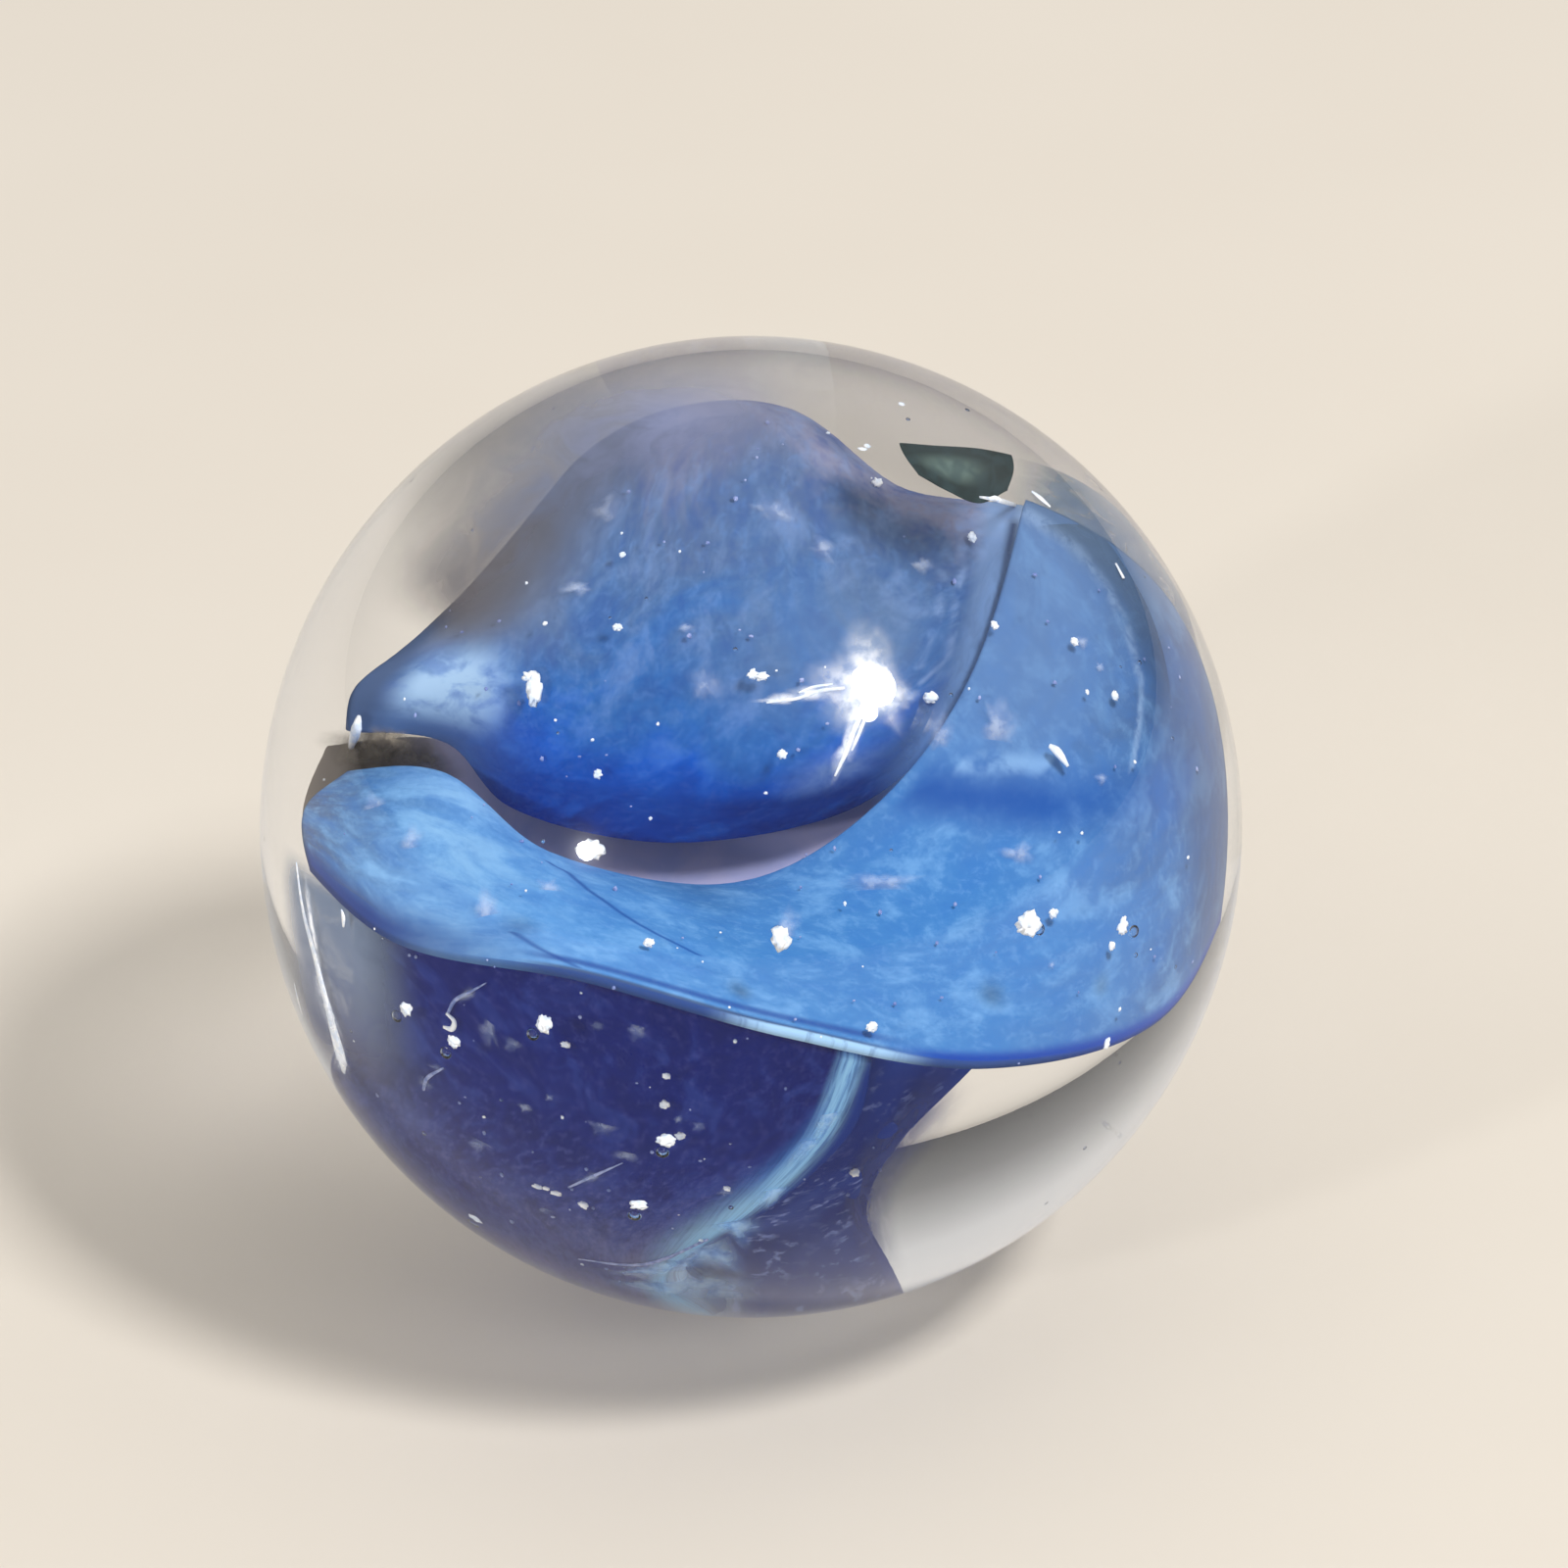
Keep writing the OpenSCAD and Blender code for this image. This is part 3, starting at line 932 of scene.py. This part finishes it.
def light_blue_glass():
    """The front leaf: sky blue, deep along its front edge, greyer where it banks up."""
    s = Shader("light_blue_glass")
    u, v = s.shares()
    clouds = s.swirl(4, 6, 6.0, rough=0.6, warp=1.0)
    swirls = s.swirl(7, 20, 6.0, rough=0.6, warp=0.4, turn=12)
    mottle = s.swirl(24, 76, 4.0, rough=0.7, warp=0.4)
    s.ramp(s.drift(v, clouds, 0.25, 0.75, 0.06), [
        (0.0, (76, 96, 130)), (0.05, (78, 114, 158)), (0.16, (96, 146, 200)),
        (0.3, (86, 142, 202)), (0.5, (68, 124, 184)), (0.68, (64, 120, 182)),
        (0.8, (72, 118, 176)), (0.93, (62, 90, 134)), (1.0, (60, 84, 124)),
    ])
    s.clouded(swirls, (50, 106, 178), (132, 182, 228), 0.35)
    s.clouded(mottle, (52, 104, 172), (134, 180, 226), 0.16)
    milk = s.times(s.fade(v, 0.36, 0.2), s.fade(clouds, 0.4, 0.62), s.fade(v, 0.08, 0.2))
    s.paint(milk, (150, 194, 228), 0.6)
    bank = s.times(s.fade(u, 0.5, 0.9), s.fade(v, 0.72, 0.88))
    s.paint(bank, (94, 128, 176), 0.6)
    dim = s.times(s.fade(v, 0.87, 0.92), s.fade(u, 0.66, 0.5))
    s.paint(dim, (58, 84, 128), 0.6)
    # Painted shadow: a dark blue band over the banked right part, below the hood's right end.
    shadow_band = s.line([(0.94, 0.735), (0.865, 0.748), (0.8, 0.765), (0.745, 0.78),
                     (0.68, 0.795), (0.62, 0.815), (0.53, 0.85), (0.42, 0.9)], 0.1)
    shadow_band = s.times(shadow_band, s.fade(u, 0.45, 0.72, 0.35, 0.9),
                     s.fade(clouds, 0.3, 0.6, 0.65, 1.0))
    s.paint(shadow_band, (28, 76, 152))
    patch = s.line([(0.9, 0.775), (0.83, 0.797), (0.75, 0.818)], 0.035)
    s.paint(s.times(patch, s.fade(swirls, 0.35, 0.55)), (132, 172, 216), 0.6)
    # Painted shade along a crease: a soft wide dark band, with a dark line on the crease itself.
    crease = [(0.74, 0.317), (0.684, 0.337), (0.568, 0.353), (0.48, 0.371), (0.4, 0.39),
              (0.359, 0.406), (0.3, 0.437)]
    s.paint(s.line(crease, 0.05), (50, 100, 172), 0.25)
    s.paint(s.line(crease, 0.012), (34, 76, 146), 0.8)
    # Painted shade along a second, shorter crease at the left.
    second = s.line([(0.16, 0.28), (0.09, 0.3), (0.03, 0.33)], 0.016)
    s.paint(second, (34, 76, 146), 0.7)
    outside = s.times(s.fade(v, 0.95, 0.972), s.fade(u, 0.55, 0.7))
    s.paint(outside, (80, 106, 142))
    # Painted highlight: a pale arc along the banked right edge.
    arc = s.line([(0.99, 0.96), (0.94, 0.963), (0.85, 0.965), (0.774, 0.955),
                  (0.71, 0.941), (0.637, 0.916), (0.58, 0.867)], 0.02)
    s.paint(s.times(arc, s.fade(mottle, 0.3, 0.6)), (146, 174, 210), 0.45)
    middle = s.times(s.fade(v, 0.27, 0.32), s.fade(v, 0.62, 0.55))
    fold = s.times(s.fade(u, 0.035, 0.055), s.fade(u, 0.085, 0.06))
    s.paint(s.times(fold, middle), (26, 64, 140), 0.75)
    right = s.times(s.fade(u, 0.06, 0.015), s.fade(v, 0.56, 0.64))
    s.paint(right, (18, 64, 156))
    # Painted shade: darker towards the front edge at the left.
    left_shade = s.times(s.fade(u, 0.24, 0.04), s.fade(v, 0.34, 0.12))
    s.paint(left_shade, (30, 58, 124))
    lip = s.times(s.fade(u, 0.032, 0.014), middle)
    s.paint(lip, (54, 66, 98), 0.8)
    rim = s.fade(u, 0.012, 0.004)
    s.paint(rim, (40, 70, 130))
    glint = s.times(s.spot((0.0, 0.53), (0.02, 0.1), soft=0.6),
                    s.fade(mottle, 0.3, 0.5, 0.5, 0.9))
    s.paint(glint, (160, 200, 236))
    return s.body()


def navy_glass():
    """The lower left leaf: navy with purple clouds, and a streak of painted light down its right
    side, where its edge catches the lamp.
    """
    s = Shader("navy_glass")
    u, v = s.shares()
    clouds = s.swirl(3, 4, 6.0, rough=0.6, warp=1.0)
    swirls = s.swirl(12, 14, 5.0, warp=1.0, turn=20)
    mottle = s.swirl(44, 54, 4.0, rough=0.7)
    s.ramp(s.drift(u, clouds, 0.2, 0.8, 0.22), [
        (0.0, (0, 24, 112)), (0.36, (0, 30, 124)), (0.58, (40, 60, 146)),
        (0.85, (92, 100, 166)),
    ])
    left = s.times(s.fade(v, 0.3, 0.02), s.fade(clouds, 0.3, 0.6, 0.5, 1.0))
    s.paint(left, (46, 74, 146))
    s.clouded(swirls, (0, 20, 92), (48, 76, 166), 0.35)
    s.clouded(mottle, (0, 22, 96), (90, 100, 176), s.fade(u, 0.2, 0.5, 0.15, 0.4))
    right = s.fade(v, 0.955, 0.975)
    s.paint(right, (10, 50, 140))
    # Painted light: a streak down the right side, with a bright core and a wider pale foot.
    brush = s.swirl(7, 110, 4.0, rough=0.6, warp=0.3)
    off = s.maths("SUBTRACT", v, s.fade(u, 0.42, 0.62, 0.926, 0.88))
    width = s.fade(u, 0.1, 0.6, -0.05, -0.2)
    left_side = s.fade(s.maths("DIVIDE", off, width), 1.0, -0.1)
    streak = s.times(left_side, s.fade(off, 0.036, 0.0), s.fade(brush, 0.25, 0.6, 0.55, 1.0))
    s.paint(streak, s.mix(s.fade(u, 0.3, 0.55), (62, 132, 226), (160, 214, 255)))
    half = s.fade(u, 0.2, 0.6, 0.052, 0.09)
    from_core = s.maths("DIVIDE", s.maths("ABSOLUTE", off), half)
    core = s.times(s.fade(from_core, 1.0, 0.0), s.fade(brush, 0.35, 0.6, 0.35, 1.0))
    s.paint(core, (150, 208, 255))
    foot = s.times(s.spot((0.8, 0.97), (0.24, 0.1)), s.fade(brush, 0.3, 0.6, 0.6, 1.0))
    s.paint(foot, (186, 220, 255))
    return s.body()


def mottled_blue_glass():
    """The lower right leaf: navy, mottled with slanted light flecks."""
    s = Shader("mottled_blue_glass")
    u, v = s.shares()
    flecks = s.swirl(26, 9, 4.0, rough=0.6, warp=0.3, turn=35)
    patches = s.swirl(9, 5, 3.0)
    clouds = s.swirl(4, 3, 4.0)
    s.ramp(clouds, [(0.3, (0, 32, 120)), (0.7, (20, 58, 152))])
    deeper = s.drift(u, clouds, 0.3, 0.7, 0.15)
    s.paint(s.fade(deeper, 0.4, 0.9, 0.0, 0.6), (78, 96, 172))
    spread = s.times(s.fade(u, 0.1, 0.6, 0.35, 0.85), s.fade(patches, 0.42, 0.56, 0.15, 1.0))
    s.paint(s.times(s.fade(flecks, 0.52, 0.64), spread), (132, 152, 218))
    beside = s.times(s.fade(v, 0.36, 0.05), s.fade(u, 0.2, 0.6))
    s.paint(beside, (74, 136, 216), 0.8)
    # Painted light: a pale fan at the bottom, where this leaf lies in shade.
    foot = s.times(s.spot((0.88, 0.12), (0.3, 0.34)), s.fade(flecks, 0.35, 0.6, 0.6, 1.0))
    s.paint(foot, (216, 234, 255))
    return s.body()


def lavender_glass():
    """Smoky lavender glass behind the gap between the hood and the front leaf."""
    s = Shader("lavender_glass")
    _, v = s.shares()
    clouds = s.swirl(4, 10, 5.0, warp=0.8)
    s.ramp(clouds, [(0.3, (150, 160, 208)), (0.7, (186, 182, 214))])
    # Painted shade: brown-grey at the left, in the gap under the hood's left wing.
    left = s.fade(v, 0.24, 0.1)
    s.paint(left, (120, 112, 106))
    return s.body()


def dark_reflection_glass():
    """The lens, a painted reflection of dark surroundings: dark green at its edges, lighter and
    greyer inside.
    """
    s = Shader("dark_reflection_glass")
    s.shares()
    clouds = s.swirl(3, 7, 5.0, warp=0.8)
    inside = s.spot((0.5, 0.4), (0.38, 0.4), soft=0.9)
    s.colour = s.mix(inside, (22, 38, 38), (92, 112, 106))
    s.paint(s.fade(clouds, 0.35, 0.65, 0.0, 0.6), (42, 62, 66))
    return s.body()


def pale_glass(name, light, dark):
    """Milky glass of the specks and threads, also the white of the painted highlights and glints.
    """
    s = Shader(name)
    grain = s.noise(s.place(), 9000.0)
    s.colour = s.mix(s.fade(grain, 0.35, 0.65), dark, light)
    return s.body(rough=0.5, shine=0.3)


def fleck_glass(name, light, dark, most):
    """Soft glass of a fleck, thinner towards its outline."""
    s = Shader(name)
    u, _ = s.shares()
    grain = s.noise(s.place(), 5000.0, detail=4.0)
    s.colour = s.mix(s.fade(grain, 0.35, 0.65), dark, light)
    cover = s.times(s.fade(u, 1.0, 0.0), s.fade(grain, 0.3, 0.6, 0.5 * most, most))
    return s.body(rough=0.8, cover=cover)


def veil_glass(name, stops, inner, outer, most, thin):
    """Thin cloudy glass, coloured along the veil, that thins out to all its sides."""
    s = Shader(name)
    u, v = s.shares()
    clouds = s.swirl(9, 5, 6.0, rough=0.65, warp=1.0)
    s.ramp(s.drift(u, clouds, 0.3, 0.7, 0.06), stops)
    across = s.times(s.fade(v, 0.0, inner), s.fade(v, 1.0, outer))
    ends = s.times(s.fade(u, 0.0, 0.18), s.fade(u, 1.0, 0.68))
    cover = s.times(s.times(across, ends), s.fade(clouds, 0.25, 0.6, thin * most, most))
    return s.body(rough=0.8, cover=cover)


def pale_floor():
    s = Shader("pale_floor")
    s.colour = s.mix(s.noise(s.place(), 60.0), (208, 199, 186), (215, 207, 195))
    return s.body(rough=0.7, shine=0.2)


# ---- Scene ----


def add_floor():
    bm = bmesh.new()
    bmesh.ops.create_grid(bm, x_segments=8, y_segments=8, size=FLOOR_HALF)
    mesh = bpy.data.meshes.new("floor")
    bm.to_mesh(mesh)
    bm.free()
    floor = bpy.data.objects.new("floor", mesh)
    bpy.context.scene.collection.objects.link(floor)
    floor.location.z = -BALL_R
    mesh.materials.append(pale_floor())


def add_world():
    """Plain pale surroundings, lightest overhead."""
    world = bpy.data.worlds.new("studio")
    world.use_nodes = True
    bpy.context.scene.world = world
    tree = world.node_tree
    tree.nodes.clear()
    kinds = ("TexCoord", "SeparateXYZ", "ValToRGB", "Background", "OutputWorld")
    nodes = [tree.nodes.new("ShaderNode" + kind) for kind in kinds]
    set_stops(nodes[2], [(height, (level, 0.99 * level, 0.98 * level, 1))
                         for height, level in GLOW])
    for node, after, output in zip(nodes[:-1], nodes[1:], ("Generated", 2, 0, 0)):
        tree.links.new(node.outputs[output], after.inputs[0])


def add_lamp(name, way, diameter, power):
    """A round lamp that looks at the ball from a direction."""
    data = bpy.data.lights.new(name, "AREA")
    data.shape = "DISK"
    data.size = diameter
    data.energy = power
    lamp = bpy.data.objects.new(name, data)
    bpy.context.scene.collection.objects.link(lamp)
    lamp.location = Vector(way).normalized() * LAMP_DISTANCE
    lamp.rotation_euler = Vector(way).to_track_quat("Z", "Y").to_euler()


def add_camera():
    """A close view from 30 degrees above the floor, with the ball a little low and left."""
    data = bpy.data.cameras.new("camera")
    data.angle = CAMERA_ANGLE
    data.clip_start = 0.01
    camera = bpy.data.objects.new("camera", data)
    bpy.context.scene.collection.objects.link(camera)
    camera.location = CAMERA
    camera.rotation_euler = AWAY.to_track_quat("Z", "Y").to_euler()
    bpy.context.scene.camera = camera


HOOD = in_reach(UPPER_POINTS)
FRONT = in_reach(FRONT_POINTS)
LOWER_LEFT = hung(LEFT_HANG, LEFT_INSET, LOWER_LEFT_POINTS)
LOWER_RIGHT = hung(RIGHT_HANG, LEFT_INSET + LAYER_STEP, LOWER_RIGHT_POINTS)

# The name, rows, cells along and across, and material of each leaf, with its slot and CAD node
LEAVES = [
    ("hood", HOOD, 96, 110, deep_blue_glass, "deep_blue_glass", "upper_vane"),
    ("front_leaf", FRONT, 72, 150, light_blue_glass, "light_blue_glass", "front_vane"),
    ("lower_left_leaf", LOWER_LEFT, 110, 90, navy_glass, "navy_glass", "lower_left_vane"),
    ("lower_right_leaf", LOWER_RIGHT, 90, 50, mottled_blue_glass, "mottled_blue_glass",
     "lower_right_vane"),
    ("inner_leaf", in_reach(INNER_POINTS), 30, 80, lavender_glass, "lavender_glass",
     "inner_vane"),
]
leaves = [leaf_mesh(name, rows, along, across, seed + 1)
          for seed, (name, rows, along, across, *_) in enumerate(LEAVES)]
TREES = [leaf_tree(mesh) for mesh in leaves]
lens_rows = np.array([[tuple(in_glass(x, y, LENS_DEPTH)) for x, y in row] for row in LENS])
lens = leaf_mesh("dark_reflection_lens", lens_rows, 20, 30, 6, LENS_T, LENS_T / 3)

add_piece("clear_ball", ball_mesh(), clear_glass(), "clear_glass", "clear_glass")
for mesh, (name, _, _, _, glass, slot, node) in zip(leaves, LEAVES):
    add_piece(name, mesh, glass(), slot, node)
add_piece("dark_reflection_lens", lens, dark_reflection_glass(), "navy_glass")

bright = pale_glass("bright_seeds", (250, 252, 255), (214, 226, 244))
dull = pale_glass("dull_seeds", (164, 176, 222), (104, 124, 186))
soft = fleck_glass("soft_flecks", (206, 218, 240), (150, 170, 214), 0.5)
# White of the painted glow round the highlights
glow_glass = fleck_glass("glow_flecks", (252, 253, 255), (226, 234, 248), 0.85)
# Dark brown-grey of the painted shade under the hood's left wing
shade_glass = fleck_glass("smoke_flecks", (136, 128, 116), (94, 88, 82), 0.9)
# Pale blue of the painted light at the streak's foot
streak = fleck_glass("streak_flecks", (190, 226, 255), (110, 170, 244), 0.85)
close_by = before_leaf(0.1 * MM)
floating = before_leaf(0.25 * MM)
at_skin = under_surface(0.12 * MM)
over_bubble = under_surface(0.5 * MM)
for name, make, things, place, glass in (
    ("bubble_specks", specks_mesh, BUBBLE_SPECKS, over_bubble, bright),
    ("bright_specks", specks_mesh, BRIGHT_SPECKS, floating, bright),
    ("bright_dust", specks_mesh, dust_places(45, 3), floating, bright),
    ("dull_dust", specks_mesh, dust_places(110, 4), close_by, dull),
    ("soft_flecks", flecks_mesh, FLECKS, close_by, soft),
    ("bright_threads", threads_mesh, THREADS_AND_GLINTS, floating, bright),
    ("dull_threads", threads_mesh, DULL_THREADS, close_by, dull),
    ("edge_streaks", threads_mesh, EDGE_HIGHLIGHTS, at_skin, bright),
    ("scuffs", threads_mesh, SCUFF_HIGHLIGHTS, at_skin, bright),
    ("edge_flecks", flecks_mesh, EDGE_GLOW_FLECKS, at_skin, glow_glass),
    ("scuff_flecks", flecks_mesh, SCUFF_GLOW_FLECKS, at_skin, glow_glass),
):
    add_piece(name, make(name, things, place), glass, "clear_glass")
for name, places, lift, stops, inner, outer, most, thin, slot in VEILS:
    glass = veil_glass(name, stops, inner, outer, most, thin)
    add_piece(name, veil_mesh(name, places, lift * MM), glass, slot)
for name, flecks, place, glass, slot in (
    ("smoke_flecks", SHADE_FLECKS, floating, shade_glass, "lavender_glass"),
    ("streak_flecks", STREAK_FLECKS, close_by, streak, "light_blue_glass"),
):
    add_piece(name, flecks_mesh(name, flecks, place), glass, slot)

add_floor()
add_world()
for lamp in LAMPS:
    add_lamp(*lamp)
add_camera()
bpy.context.scene.view_settings.view_transform = "Standard"
